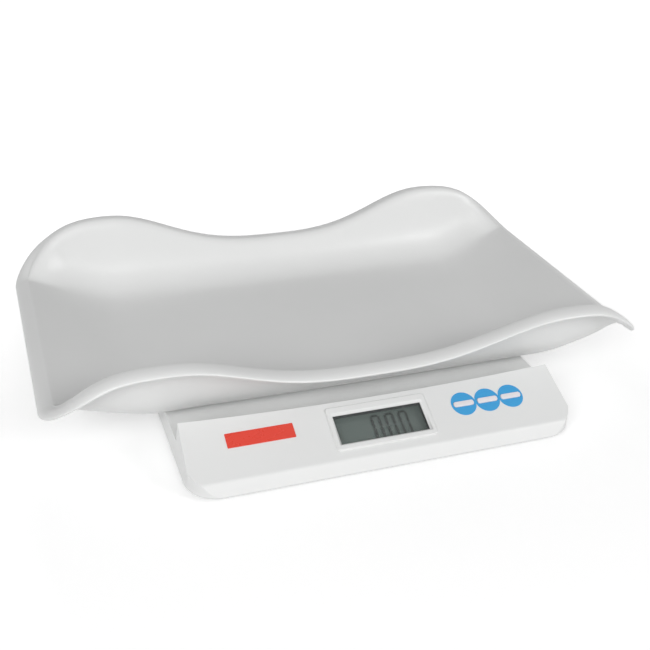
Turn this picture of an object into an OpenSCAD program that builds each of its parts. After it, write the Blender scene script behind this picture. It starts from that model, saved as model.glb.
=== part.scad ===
// Digital baby scale: a moulded cradle tray on a low base with a sloping console.
// The origin is under the middle of the whole scale, on the table.
// X runs along the tray, -Y is the console side, Z is up.

/* [Tray] */
// Length of the tray over its end lips
tray_length = 550; // [520:5:580]
// Width of the tray over its lips, where it is widest
tray_width = 330; // [320:2:344]
// Thickness of the moulded tray
tray_wall = 3; // [2.4:0.2:3.6]
// Width of the flat floor between the side walls
floor_width = 206; // [196:2:212]
// Height of the rim over the floor at the middle of a long side
rim_dip = 36.5; // [30:0.5:42]
// Height of the rim over the floor at its four humps
rim_hump = 70.5; // [62:0.5:78]
// Height of the end edges over the floor
end_rise = 27; // [20:0.5:32]
// Distance of the humps from the middle of the tray
hump_x = 173; // [160:1:190]
// How much the long sides draw in at the middle, on each side
waist = 11; // [6:1:14]
// Width of the lip that rolls outwards round the tray
lip_width = 13; // [11:0.5:14]
// How far the lip rolls down along the sides
lip_drop = 4.2; // [3.8:0.2:6]
// How far the lip rolls down at the ends
lip_end_drop = 7; // [5:0.5:9]
// Plan radius of the tray's corners, inside the lip
tray_corner = 24; // [18:1:30]

/* [Base] */
// Width of the base at its lower edge
base_width = 345; // [340:1:360]
// Depth of the base from the console's front edge
base_depth = 326; // [318:2:336]
// How far the console stands out in front of the tray
console_reach = 42.5; // [39:0.5:47]
// Depth of the console at its ends
console_depth = 59.5; // [59:0.5:62]
// Height of the console's top edge
crest_height = 41.5; // [41.5:0.5:46]
// Slope of the console's face in degrees
face_slope = 25; // [23:0.5:26]
// How much the console's top edge bows forward at the middle
crest_bow = 4.3; // [3:0.1:4.6]
// Height of the deck under the tray
deck_height = 24.6; // [24.6:0.2:27]
// Wall thickness of the base mouldings
wall = 2.2; // [1.8:0.1:2.3]
// Plan radius of the base's front corners
front_corner = 27; // [24:1:32]
// Plan radius of the base's back corners
back_corner = 20; // [14:1:26]

/* [Load system] */
// Height of the rubber support pads over the deck
pad_stand = 1.8; // [1.5:0.1:2.4]
// Diameter of the support pads
pad_d = 18; // [15:0.5:20]
// Distance of the support posts from the tray's middle, along it
post_x = 100; // [90:2:112]
// Distance of the support posts from the tray's middle, across it
post_y = 70; // [60:2:78]
// Length of the load cell
cell_length = 130; // [120:2:140]
// Width of the load cell
cell_width = 22; // [18:1:28]
// How far the loaded platform sinks
platform_travel = 0.6; // [0.3:0.1:0.7]

/* [Console] */
// Width of the display opening
display_w = 79.5; // [72:0.5:81]
// Height of the display opening along the slope
display_h = 27.2; // [24:0.2:27.6]
// Sideways place of the display's middle
display_x = -2; // [-6:1:2]
// Place of the display's middle down the slope
display_v = 31; // [30.6:0.2:31.4]
// Spacing of the three keys
key_pitch = 22.8; // [22.6:0.1:24]
// Sideways place of the middle key
keys_x = 98.9; // [96:0.5:101]
// Place of the keys down the slope
keys_v = 26.5; // [25.5:0.5:29]
// Length of a key's cap
key_length = 19; // [16:0.5:19.5]
// Height of a key's cap along the slope
key_height = 5; // [4:0.2:5.4]
// How far a key can be pressed
key_travel = 0.8; // [0.4:0.1:0.9]
// Length of the colour plate
badge_w = 57.6; // [40:0.2:64]
// Height of the colour plate along the slope
badge_h = 13.6; // [8:0.2:18]
// Sideways place of the colour plate
badge_x = -105.8; // [-112:0.2:-96]
// Place of the colour plate down the slope
badge_v = 24; // [18:0.5:32]

/* [Hidden] */
$fn = 48;
white = "#e9ebe8";
rubber = "#3c3e40";
zinc = "#b9bcc0";

// Places along Y and Z
depth = tray_width + console_reach;
front_y = -depth / 2;
tray_y = console_reach / 2;
back_y = front_y + base_depth;
crest_y = front_y + console_depth;
foot_height = 4;
cover_thick = 2;
seam_z = foot_height + cover_thick;
underside_z = deck_height + pad_stand;
floor_z = underside_z + tray_wall;
ceiling_z = deck_height - wall;

// Tray outline at the ridge of the lip, and the places where its form changes
ridge_x = tray_length / 2 - lip_width;
ridge_y = tray_width / 2 - lip_width;
end_taper = 11.5;
floor_flat = 150;
floor_flare = 12;
rim_wave = 1.52;
end_fall = 3.3;
floor_sweep = 2.45;
arc_steps = 6;
mid_steps = 18;
wall_steps = 9;
floor_steps = 8;
lip_steps = 5;
edge_steps = 3;
lip_angle = 75;

// Console nose: where the sloping face turns down to the front edge
nose_run = 5.6;
nose_round = 6;
side_draft = 0.0986;
deck_chamfer = 3;
face_run = console_depth - nose_run;
nose_z = crest_height - face_run * tan(face_slope);

// Load system heights, stacked between the cover and the deck
cell_shim = 0.8;
cell_z = seam_z + cell_shim;
plate_thick = 2;
plate_top = ceiling_z - 0.8;
plate_z = plate_top - plate_thick;
cell_gap = 1.3;
cell_height = plate_z - cell_gap - cell_z;
cell_end = 30;
cell_bolt_pitch = 12;
cell_bolt_d = 3.9;
cell_bore_d = 8.5;
cell_bore_x = 12;
cell_slot = 3;
post_d = 14;
post_hole_d = 22;
post_top = deck_height + 0.3;
peg_d = 6;
peg_bore_d = 7;
peg_length = 4.4;

// Display and board stack, measured inwards from the face
bezel_top = 1.6;
bezel_sink = 1;
bezel_band = 5.4;
bezel_drop = 0.8;
bezel_slope = 50;
bezel_lip = 2.3;
lens_thick = 1;
holder_depth = bezel_sink + lens_thick + 0.3;
holder_edge = 1.5;
board_depth = 11.5;
board_thick = 1.6;
board_x0 = -62;
board_x1 = 140;
board_v0 = 13.5;
board_v1 = 50;
board_posts = [[-57, 17], [-57, 46.5], [56, 46.5], [135, 17], [135, 46.5]];
board_hole = 3;
pillar_d = 6;
header_size = [10, 6, 5];
header_v = 32;
cell_header_x = 64;
battery_header_x = -52;
lcd_thick = 2.8;
lcd_depth = 6.6;
overlay_thick = 0.3;
key_stand = 1.3;
key_gap = 0.25;
flange_thick = 1.2;
stem_depth = wall + 2.5;
switch_top = stem_depth + key_travel + 0.1;

// Battery bay in the cover, behind the console's front
battery_size = [48.5, 26.5, 17.5];
bay_size = [59, 29];
bay_wall = 1.4;
bay_x = -109;
bay_y = crest_y - crest_bow - wall - 0.8 - battery_size[1] / 2;
door_thick = 1.6;
battery_z = foot_height + door_thick;
battery_x = bay_x - bay_size[0] / 2 + 0.5 + battery_size[0] / 2;

// Screws and feet
screw_inset = 20.5;
screw_front = crest_y - 4.75;
screw_back = back_y - 46;
screw_at = [[screw_inset - base_width / 2, screw_front], [base_width / 2 - screw_inset, screw_front],
  [screw_inset - base_width / 2, screw_back], [base_width / 2 - screw_inset, screw_back],
  [0, back_y - 18], [0, crest_y + 12]];
screw_post_d = 8;
screw_d = 2.6;
head_d = 5.2;
head_h = 1.8;
head_sink = 2.4;
post_joint_z = seam_z + 3;
foot_d = 22;
foot_front = [base_width / 2 - 20.5, front_y + 29.75];
foot_back = [base_width / 2 - 26.5, back_y - 21];

// ---- shared forms ----

// Crossing point of two lines, each given by a point and a direction
function crossing(p, d, q, e) = p + d * (((q - p)[0] * e[1] - (q - p)[1] * e[0]) /
  (d[0] * e[1] - d[1] * e[0]));

// Points of a round of radius r at corner b between a and c
function round_corner(a, b, c, r, n) =
  let (
    u = (a - b) / norm(a - b),
    w = (c - b) / norm(c - b),
    half = acos(u * w) / 2,
    mid = (u + w) / norm(u + w),
    o = b + mid * r / sin(half),
    p = b + u * r / tan(half),
    q = b + w * r / tan(half),
    sweep = 180 - 2 * half,
    turn = sign((p - o)[0] * (q - o)[1] - (p - o)[1] * (q - o)[0]),
    start = atan2((p - o)[1], (p - o)[0])
  )
  [for (k = [0 : n]) o + r * [cos(start + turn * sweep * k / n), sin(start + turn * sweep * k / n)]];

// Height of the sloping face at y
function face_z(y) = crest_height - (crest_y - y) * tan(face_slope);

// Place at x sideways, v down the slope, w out of the face
function face_place(x, v, w) = [x, crest_y - v * cos(face_slope) - w * sin(face_slope),
  crest_height - v * sin(face_slope) + w * cos(face_slope)];

// Moves a child to a place on the face: x sideways, v down the slope, w out of the face
module on_face(x, v, w = 0) {
  translate([0, crest_y, crest_height])
    rotate([face_slope, 0, 0])
      translate([x, -v, w])
        children();
}

// Rectangle with round corners, centred
module round_plate(w, h, r, t) {
  linear_extrude(t) {
    square([w - 2 * r, h], center = true);
    square([w, h - 2 * r], center = true);
    for (x = [-1, 1], y = [-1, 1]) {
      translate([x * (w / 2 - r), y * (h / 2 - r)]) circle(r);
    }
  }
}

// Eight-sided tube of radius r along a list of points
module tube(route, r) {
  sides = 8;
  last = len(route) - 1;
  rings = [for (i = [0 : last])
    let (
      d = route[min(i + 1, last)] - route[max(i - 1, 0)],
      t = d / norm(d),
      s = cross(t, [0, 0, 1]) / norm(cross(t, [0, 0, 1])),
      u = cross(s, t)
    )
    for (k = [0 : sides - 1])
      route[i] + r * (cos(360 * k / sides) * s + sin(360 * k / sides) * u)];
  skin = [for (i = [0 : last - 1], k = [0 : sides - 1])
    let (a = i * sides + k, b = i * sides + (k + 1) % sides)
    for (f = [[a, b, b + sides], [a, b + sides, a + sides]]) f];
  near = [for (k = [0 : sides - 1]) sides - 1 - k];
  far = [for (k = [0 : sides - 1]) last * sides + k];
  polyhedron(rings, concat(skin, [near, far]));
}

// Points of a smooth curve through the corners of a route
function smooth_route(p, n) = [for (i = [0 : len(p) - 2], k = [0 : n - 1])
  let (
    t = k / n,
    a = p[max(i - 1, 0)],
    b = p[i],
    c = p[i + 1],
    d = p[min(i + 2, len(p) - 1)]
  )
  0.5 * (2 * b + (c - a) * t + (2 * a - 5 * b + 4 * c - d) * t * t
    + (3 * b - a - 3 * c + d) * t * t * t)];

// ---- tray ----

// Soft step from 0 to 1
function ease(t) = (1 - cos(180 * t)) / 2;

// How far a place is from the dip at the middle to the hump
function swell(x) = ease(pow(min(abs(x) / hump_x, 1), rim_wave));
// How far a place is from the hump to the end of the tray
function past(x) = max(0, (abs(x) - hump_x) / (ridge_x - hump_x));
// How far a place is along the part of the floor that rises
function rising(x) = max(0, (abs(x) - floor_flat) / (ridge_x - floor_flat));

function corner_cut(x) =
  let (c = max(0, abs(x) - (ridge_x - tray_corner)))
  tray_corner - sqrt(max(0, tray_corner * tray_corner - c * c));
function ridge_half(x) = ridge_y - waist * (1 - swell(x)) - end_taper * past(x) * past(x) - corner_cut(x);
function ridge_z(x) = abs(x) <= hump_x
  ? rim_dip + (rim_hump - rim_dip) * swell(x)
  : end_rise + (rim_hump - end_rise) * (1 - pow(past(x), end_fall));
function bed_z(x) = end_rise * ease(pow(rising(x), floor_sweep));
function bed_half(x) = min(floor_width / 2 + floor_flare * rising(x) * rising(x), ridge_half(x) - 4);

arc_x = [for (k = [1 : arc_steps]) ridge_x - tray_corner + tray_corner * sin(90 * k / arc_steps)];
half_columns = concat([for (k = [0 : mid_steps]) (ridge_x - tray_corner) * k / mid_steps], arc_x);
columns = concat([for (k = [len(half_columns) - 1 : -1 : 1]) -half_columns[k]], half_columns);
rows = 2 * wall_steps + floor_steps;
last_column = len(columns) - 1;

// Point of the inner skin in column i and row j
function skin_point(i, j) =
  let (
    x = columns[i],
    side = j < rows / 2 ? -1 : 1,
    k = side < 0 ? j : rows - j,
    up = k < wall_steps ? 1 - k / wall_steps : 0,
    inset = k > wall_steps ? (k - wall_steps) / (floor_steps / 2) : 0,
    y = up > 0 ? bed_half(x) + (ridge_half(x) - bed_half(x)) * up : bed_half(x) * (1 - inset)
  )
  [x, tray_y + side * y, floor_z + bed_z(x) + (ridge_z(x) - bed_z(x)) * ease(up)];

function skin_normal(i, j) =
  let (
    a = skin_point(min(i + 1, last_column), j) - skin_point(max(i - 1, 0), j),
    b = skin_point(i, min(j + 1, rows)) - skin_point(i, max(j - 1, 0)),
    n = cross(a, b)
  )
  n / norm(n);

function under_point(i, j) = (i == 0 || i == last_column || j == 0 || j == rows)
  ? skin_point(i, j) - [0, 0, tray_wall]
  : skin_point(i, j) - tray_wall * skin_normal(i, j);

// Columns and rows of the edge, once round the tray
edge = concat(
  [for (i = [0 : last_column - 1]) [i, 0]],
  [for (j = [0 : rows - 1]) [last_column, j]],
  [for (i = [last_column : -1 : 1]) [i, rows]],
  [for (j = [rows : -1 : 1]) [0, j]]);
edge_count = len(edge);

function edge_out(k) =
  let (
    p = edge[(k + edge_count - 1) % edge_count],
    q = edge[(k + 1) % edge_count],
    d = skin_point(q[0], q[1]) - skin_point(p[0], p[1]),
    n = [d[1], -d[0], 0]
  )
  n / norm(n);

// Depth of the lip's roll at x
function roll_drop(x) = lip_drop + (lip_end_drop - lip_drop) * past(x) * past(x);

// Direction of the lip's roll at an angle: out and down, of length 1
function roll_along(a, drop) =
  let (d = [lip_width * cos(a) / sin(lip_angle), -drop * sin(a) / (1 - cos(lip_angle))])
  d / norm(d);

// Place on the lip's roll, out from the ridge and down, t deep in the wall
function roll_place(a, drop, t) =
  let (u = roll_along(a, drop))
  [lip_width * sin(a) / sin(lip_angle), -drop * (1 - cos(a)) / (1 - cos(lip_angle))] + t * [u[1], -u[0]];

// Place on the half round of the lip's edge
function edge_place(a, drop) =
  roll_place(lip_angle, drop, tray_wall * (1 - cos(a)) / 2)
    + roll_along(lip_angle, drop) * sin(a) * tray_wall / 2;

// Ring of points round the tray: along the roll, or round its edge
function roll_ring(a, t) = [for (k = [0 : edge_count - 1])
  let (q = skin_point(edge[k][0], edge[k][1]), p = roll_place(a, roll_drop(q[0]), t))
  q + edge_out(k) * p[0] + [0, 0, p[1]]];
function edge_ring(a) = [for (k = [0 : edge_count - 1])
  let (q = skin_point(edge[k][0], edge[k][1]), p = edge_place(a, roll_drop(q[0])))
  q + edge_out(k) * p[0] + [0, 0, p[1]]];

module tray() {
  stride = rows + 1;
  grid = (last_column + 1) * stride;
  top = [for (i = [0 : last_column], j = [0 : rows]) skin_point(i, j)];
  under = [for (i = [0 : last_column], j = [0 : rows]) under_point(i, j)];
  roll = [for (k = [1 : lip_steps], p = roll_ring(lip_angle * k / lip_steps, 0)) p];
  round_edge = [for (k = [1 : edge_steps - 1], p = edge_ring(180 * k / edge_steps)) p];
  roll_under = [for (k = [lip_steps : -1 : 1], p = roll_ring(lip_angle * k / lip_steps, tray_wall)) p];
  quads = [for (i = [0 : last_column - 1], j = [0 : rows - 1]) i * stride + j];
  top_faces = [for (a = quads)
    for (f = [[a, a + 1, a + stride + 1], [a, a + stride + 1, a + stride]]) f];
  under_faces = [for (q = quads) let (a = q + grid)
    for (f = [[a, a + stride, a + stride + 1], [a, a + stride + 1, a + 1]]) f];
  // Rings run from the top skin's edge, over the lip, to the under skin's edge
  loops = concat(
    [[for (e = edge) e[0] * stride + e[1]]],
    [for (r = [0 : 2 * lip_steps + edge_steps - 2])
      [for (k = [0 : edge_count - 1]) 2 * grid + r * edge_count + k]],
    [[for (e = edge) grid + e[0] * stride + e[1]]]);
  lip_faces = [for (r = [0 : len(loops) - 2], k = [0 : edge_count - 1])
    let (a = loops[r], b = loops[r + 1], n = (k + 1) % edge_count)
    for (f = [[a[k], a[n], b[n]], [a[k], b[n], b[k]]]) f];
  color(white)
    polyhedron(concat(top, under, roll, round_edge, roll_under), concat(top_faces, under_faces, lip_faces));
}

// Pegs moulded under the floor that drop into the support posts
module tray_pegs() {
  color(white)
    for (x = [-1, 1], y = [-1, 1]) {
      translate([x * post_x, tray_y + y * post_y, underside_z - peg_length])
        cylinder(h = peg_length, d1 = peg_d - 1, d2 = peg_d);
    }
}

// ---- load system ----

module support_pad(sx, sy) {
  color(rubber)
    translate([sx * post_x, tray_y + sy * post_y, post_top])
      difference() {
        cylinder(h = underside_z - post_top, d = pad_d);
        translate([0, 0, -1]) cylinder(h = underside_z, d = peg_bore_d);
      }
}

module support_pad_front_left() support_pad(-1, -1);
module support_pad_front_right() support_pad(1, -1);
module support_pad_back_left() support_pad(-1, 1);
module support_pad_back_right() support_pad(1, 1);

// Steel spider that carries the four posts
module load_platform() {
  arm = norm([post_x, post_y]);
  angle = atan2(post_y, post_x);
  color(zinc)
    translate([0, tray_y, 0])
      difference() {
        union() {
          translate([0, 0, plate_z])
            linear_extrude(plate_thick) {
              square([cell_length, 2.4 * cell_width], center = true);
              for (s = [-1, 1]) {
                rotate(s * angle) square([2 * arm, 20], center = true);
              }
              for (x = [-1, 1], y = [-1, 1]) {
                translate([x * post_x, y * post_y]) circle(11);
              }
            }
          for (x = [-1, 1], y = [-1, 1]) {
            translate([x * post_x, y * post_y, plate_z]) cylinder(h = post_top - plate_z, d = post_d);
          }
        }
        for (x = [-1, 1], y = [-1, 1]) {
          translate([x * post_x, y * post_y, plate_z - 1]) cylinder(h = 20, d = peg_bore_d);
        }
        for (x = [-1, 1]) {
          translate([cell_end / 2 - cell_length / 2 + x * cell_bolt_pitch / 2, 0, plate_z - 1])
            cylinder(h = 20, d = cell_bolt_d + 0.2);
          translate([cell_end / 2 - cell_length / 2 + x * cell_bolt_pitch / 2, 0, plate_z])
            cylinder(h = plate_thick, d1 = cell_bolt_d + 0.2, d2 = 8);
        }
      }
}

// Single-point aluminium load cell with its two linked bores
module load_cell() {
  color("#c9cdd1")
    translate([0, tray_y, cell_z])
      difference() {
        translate([-cell_length / 2, -cell_width / 2, 0]) cube([cell_length, cell_width, cell_height]);
        for (x = [-cell_bore_x, cell_bore_x]) {
          translate([x, cell_width, cell_height / 2])
            rotate([90, 0, 0])
              cylinder(h = 2 * cell_width, d = cell_bore_d);
        }
        translate([-cell_bore_x, -cell_width, cell_height / 2 - cell_slot / 2])
          cube([2 * cell_bore_x, 2 * cell_width, cell_slot]);
        for (s = [-1, 1], x = [-1, 1]) {
          translate([s * (cell_length - cell_end) / 2 + x * cell_bolt_pitch / 2, 0, -1])
            cylinder(h = 20, d = cell_bolt_d + 0.2);
        }
      }
}

// Shim under the fixed end
module cell_shim() {
  color(zinc)
    translate([(cell_length - cell_end) / 2, tray_y, seam_z])
      difference() {
        translate([-cell_end / 2, -cell_width / 2, 0]) cube([cell_end, cell_width, cell_shim]);
        for (x = [-1, 1]) {
          translate([x * cell_bolt_pitch / 2, 0, -1]) cylinder(h = 4, d = cell_bolt_d + 0.4);
        }
      }
}

// Spacer between the free end and the platform
module cell_spacer() {
  color(zinc)
    translate([-(cell_length - cell_end) / 2, tray_y, plate_z - cell_gap])
      difference() {
        translate([-cell_end / 2, -cell_width / 2, 0]) cube([cell_end, cell_width, cell_gap]);
        for (x = [-1, 1]) {
          translate([x * cell_bolt_pitch / 2, 0, -1]) cylinder(h = 4, d = cell_bolt_d + 0.4);
        }
      }
}

module cell_screws_fixed() {
  color(zinc)
    for (x = [-1, 1]) {
      translate([(cell_length - cell_end) / 2 + x * cell_bolt_pitch / 2, tray_y, 0]) {
        translate([0, 0, foot_height + 0.1]) cylinder(h = 1.8, d1 = 7.6, d2 = cell_bolt_d);
        translate([0, 0, foot_height + 0.1]) cylinder(h = cell_z + 8 - foot_height, d = cell_bolt_d);
      }
    }
}

module cell_screws_free() {
  color(zinc)
    for (x = [-1, 1]) {
      translate([x * cell_bolt_pitch / 2 - (cell_length - cell_end) / 2, tray_y, 0]) {
        translate([0, 0, plate_z]) cylinder(h = plate_thick, d1 = cell_bolt_d, d2 = 7.8);
        translate([0, 0, plate_z - 8]) cylinder(h = 8, d = cell_bolt_d);
      }
    }
}

// ---- base ----

// Plan of the base, drawn in from its edge by inset
module base_plan(inset) {
  w = base_width - 2 * inset;
  f = front_y + inset;
  b = back_y - inset;
  rf = front_corner - inset;
  rb = back_corner - inset;
  translate([-w / 2, f + rf]) square([w, b - rb - f - rf]);
  translate([rf - w / 2, f]) square([w - 2 * rf, 2 * rf]);
  translate([rb - w / 2, b - 2 * rb]) square([w - 2 * rb, 2 * rb]);
  for (s = [-1, 1]) {
    translate([s * (w / 2 - rf), f + rf]) circle(rf);
    translate([s * (w / 2 - rb), b - rb]) circle(rb);
  }
}

// Side view of the base, drawn in from its surface by inset
module base_profile(inset) {
  along = [-cos(face_slope), -sin(face_slope)];
  down = [-nose_run, seam_z - nose_z];
  in_face = [sin(face_slope), -cos(face_slope)] * inset;
  in_front = [nose_z - seam_z, -nose_run] / norm(down) * inset;
  crest_over = crest_y + 8;
  face_point = [crest_over, face_z(crest_over)] + in_face;
  front_point = [front_y, seam_z] + in_front;
  nose = crossing(face_point, along, front_point, down);
  foot = crossing(front_point, down, [0, 0], [1, 0]);
  top = deck_height - inset;
  rear = back_y - inset;
  points = concat(
    [foot, [rear, 0], [rear, top - deck_chamfer], [rear - deck_chamfer, top]],
    [[face_point[0], top], face_point],
    round_corner(face_point, nose, foot, max(nose_round - inset, 1), 6));
  rotate([90, 0, 90])
    translate([0, 0, -base_width])
      linear_extrude(2 * base_width)
        polygon(points);
}

// Front view of the base with drafted sides
module base_sides(inset) {
  low = base_width / 2 - inset;
  high = low - side_draft * (60 - seam_z);
  rotate([90, 0, 0])
    translate([0, 0, -depth])
      linear_extrude(2 * depth)
        polygon([[-low, seam_z], [-high, 60], [high, 60], [low, seam_z]]);
}

// Space over the deck, behind the bowed back of the console
module over_deck(inset) {
  half = base_width / 2;
  r = half * half / (2 * crest_bow);
  translate([0, crest_y - crest_bow + r, deck_height - inset])
    cylinder(h = 60, r = r + inset, $fn = 900);
}

module base_form(inset, low) {
  intersection() {
    translate([0, 0, low]) linear_extrude(60) base_plan(inset);
    base_sides(inset);
    base_profile(inset);
  }
}

module screw_posts(z, h, d) {
  for (p = screw_at) {
    translate([p[0], p[1], z]) cylinder(h = h, d = d);
  }
}

// Upper moulding: console, deck and side walls in one
module base_housing() {
  color(white)
    difference() {
      base_form(0, seam_z);
      over_deck(0);
      // Inside, leaving the posts for the case screws and the board
      difference() {
        base_form(wall, 0);
        over_deck(wall);
        screw_posts(post_joint_z, 60, screw_post_d);
        for (p = board_posts) {
          on_face(p[0], p[1], -board_depth) cylinder(h = 30, d = pillar_d);
        }
      }
      screw_posts(0, post_joint_z + 9, screw_d + 0.1);
      for (p = board_posts) {
        on_face(p[0], p[1], -board_depth - 1) cylinder(h = 6, d = 2.1);
      }
      on_face(display_x, display_v, -10)
        linear_extrude(20)
          square([display_w + 2 * bezel_lip + 0.4, display_h + 2 * bezel_lip + 0.4], center = true);
      for (k = [-1 : 1]) {
        on_face(keys_x + k * key_pitch, keys_v, -wall - 2)
          round_plate(key_length + 2 * key_gap, key_height + 2 * key_gap, 2 + key_gap, wall + 6);
      }
      for (x = [-1, 1], y = [-1, 1]) {
        translate([x * post_x, tray_y + y * post_y, ceiling_z - 1]) cylinder(h = 20, d = post_hole_d);
      }
    }
}

// Lower cover with its rim, ribs, screw posts and battery bay
module base_cover() {
  rim = 4.8;
  rib_h = 5;
  color(white)
    difference() {
      union() {
        translate([0, 0, foot_height]) linear_extrude(cover_thick) base_plan(1.5);
        translate([0, 0, seam_z])
          linear_extrude(3)
            difference() {
              base_plan(rim);
              base_plan(rim + 1.5);
            }
        screw_posts(foot_height, post_joint_z - foot_height, screw_post_d);
        for (y = [-1, 1]) {
          translate([-130, tray_y + y * 32 - 0.8, foot_height]) cube([260, 1.6, rib_h]);
        }
        for (x = [-1, 1]) {
          translate([x * 82 - 0.8, front_y + 75, foot_height]) cube([1.6, base_depth - 110, rib_h]);
        }
        translate([bay_x - bay_size[0] / 2 - bay_wall, bay_y - bay_size[1] / 2 - bay_wall, foot_height])
          cube([bay_size[0] + 2 * bay_wall, bay_size[1] + 2 * bay_wall, 12]);
      }
      translate([bay_x - bay_size[0] / 2, bay_y - bay_size[1] / 2, 0]) cube([bay_size[0], bay_size[1], 40]);
      // Way out for the battery lead
      translate([bay_x + bay_size[0] / 2 - 1, bay_y - 4, seam_z + 4]) cube([6, 8, 10]);
      screw_posts(0, 40, screw_d + 0.8);
      screw_posts(0, foot_height + head_sink, head_d + 0.4);
      for (x = [-1, 1]) {
        translate([(cell_length - cell_end) / 2 + x * cell_bolt_pitch / 2, tray_y, 0]) {
          cylinder(h = 20, d = cell_bolt_d + 0.4);
          translate([0, 0, foot_height]) cylinder(h = 1.9, d1 = 8, d2 = cell_bolt_d + 0.4);
        }
      }
      for (s = [-1, 1], p = [foot_front, foot_back]) {
        translate([s * p[0], p[1], 0]) cylinder(h = 20, d = 8.2);
      }
    }
}

module case_screws() {
  color(zinc)
    for (p = screw_at) {
      translate([p[0], p[1], foot_height + head_sink - head_h]) cylinder(h = head_h, d = head_d);
      translate([p[0], p[1], foot_height + 1]) cylinder(h = post_joint_z + 7 - foot_height, d = screw_d);
    }
}

module foot(x, y) {
  color(rubber)
    translate([x, y, 0]) {
      cylinder(h = foot_height, d1 = foot_d - 2, d2 = foot_d);
      translate([0, 0, foot_height]) cylinder(h = cover_thick + 1, d = 8);
    }
}

module foot_front_left() foot(-foot_front[0], foot_front[1]);
module foot_front_right() foot(foot_front[0], foot_front[1]);
module foot_back_left() foot(-foot_back[0], foot_back[1]);
module foot_back_right() foot(foot_back[0], foot_back[1]);

// ---- battery ----

// Lid under the battery, with finger grooves
module battery_door() {
  color(white)
    translate([bay_x, bay_y, foot_height])
      difference() {
        round_plate(bay_size[0] - 0.6, bay_size[1] - 0.6, 1.5, door_thick);
        for (k = [0 : 3]) {
          translate([18 + 2.5 * k, -7, -0.5]) cube([1.2, 14, 1]);
        }
      }
}

module battery() {
  terminal_x = battery_size[0] / 2;
  color("#5a6068")
    translate([battery_x, bay_y, battery_z]) {
      translate([-battery_size[0] / 2, -battery_size[1] / 2, 0]) cube(battery_size);
      for (y = [-6.35, 6.35]) {
        translate([terminal_x, y, battery_size[2] / 2]) rotate([0, 90, 0]) cylinder(h = 2, d = 5.6);
      }
    }
}

// Press-stud cap on the battery's end
module battery_snap() {
  color("#26282a")
    translate([battery_x + battery_size[0] / 2, bay_y, battery_z + battery_size[2] / 2])
      difference() {
        translate([0.1, -12.5, -6]) cube([4.6, 25, 12]);
        for (y = [-6.35, 6.35]) {
          translate([-1, y, 0]) rotate([0, 90, 0]) cylinder(h = 3.4, d = 6);
        }
      }
}

// ---- console ----

// Opening that widens outwards on all four sides
module widening(w, h, slope, t) {
  over = t / tan(slope);
  intersection() {
    rotate([90, 0, 0])
      linear_extrude(4 * h, center = true)
        polygon([[-w / 2, 0], [w / 2, 0], [w / 2 + over, t], [-w / 2 - over, t]]);
    rotate([90, 0, 90])
      linear_extrude(4 * w, center = true)
        polygon([[-h / 2, 0], [h / 2, 0], [h / 2 + over, t], [-h / 2 - over, t]]);
  }
}

// Raised frame round the display, sloping in to its opening
module display_bezel() {
  w = display_w + 2 * bezel_band;
  h = display_h + 2 * bezel_band + 3;
  color(white)
    on_face(display_x, display_v)
      difference() {
        union() {
          translate([0, bezel_drop, 0]) round_plate(w, h, 3, bezel_top);
          translate([0, 0, -bezel_sink])
            round_plate(display_w + 2 * bezel_lip, display_h + 2 * bezel_lip, 1, bezel_sink + 1);
        }
        translate([0, 0, -10]) linear_extrude(20) square([display_w, display_h], center = true);
        translate([0, 0, -bezel_sink / 2]) widening(display_w, display_h, bezel_slope, 4);
      }
}

// Clear window behind the frame
module display_window() {
  color("#b8c4c2")
    on_face(display_x, display_v, -bezel_sink - lens_thick)
      round_plate(display_w + 2 * bezel_lip, display_h + 2 * bezel_lip, 1, lens_thick);
}

module lcd_panel() {
  color("#7c877f")
    on_face(display_x, display_v, -lcd_depth - lcd_thick)
      linear_extrude(lcd_thick) square([display_w + 4, display_h + 4], center = true);
}

// Dark frame that carries the window and holds the display glass on the board
module lcd_holder() {
  w = display_w + 4.4;
  h = display_h + 4.4;
  color("#3a3c3e")
    on_face(display_x, display_v, -board_depth)
      difference() {
        linear_extrude(board_depth - holder_depth)
          square([w + 2 * holder_edge, h + 2 * holder_edge], center = true);
        translate([0, 0, -1])
          linear_extrude(board_depth - lcd_depth + 1.1) square([w, h], center = true);
        linear_extrude(board_depth) square([display_w + 1, display_h + 1], center = true);
      }
}

// Contact strips between the glass and the board
module lcd_contact_strips() {
  color("#1f2022")
    for (s = [-1, 1]) {
      on_face(display_x, display_v + s * (display_h / 2 - 1), -board_depth)
        linear_extrude(board_depth - lcd_depth - lcd_thick) square([display_w - 6, 2], center = true);
    }
}

module main_board() {
  color("#2f6b45")
    difference() {
      on_face(0, 0, -board_depth - board_thick)
        translate([board_x0, -board_v1, 0])
          cube([board_x1 - board_x0, board_v1 - board_v0, board_thick]);
      for (p = board_posts) {
        on_face(p[0], p[1], -board_depth - 4) cylinder(h = 8, d = board_hole);
      }
    }
}

module board_chip() {
  color("#202224")
    on_face(57, 29, -board_depth)
      translate([-5, -5, 0]) cube([10, 10, 1.4]);
}

module header(x) {
  color("#e6e2d4")
    on_face(x, header_v, -board_depth - board_thick - header_size[2])
      linear_extrude(header_size[2]) square([header_size[0], header_size[1]], center = true);
}

module cell_header() header(cell_header_x);
module battery_header() header(battery_header_x);

module board_screws() {
  color(zinc)
    for (p = board_posts) {
      on_face(p[0], p[1], -board_depth - board_thick - 1.6) cylinder(h = 1.6, d = 4.4);
      on_face(p[0], p[1], -board_depth - board_thick) cylinder(h = board_thick + 4, d = 2);
    }
}

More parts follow.
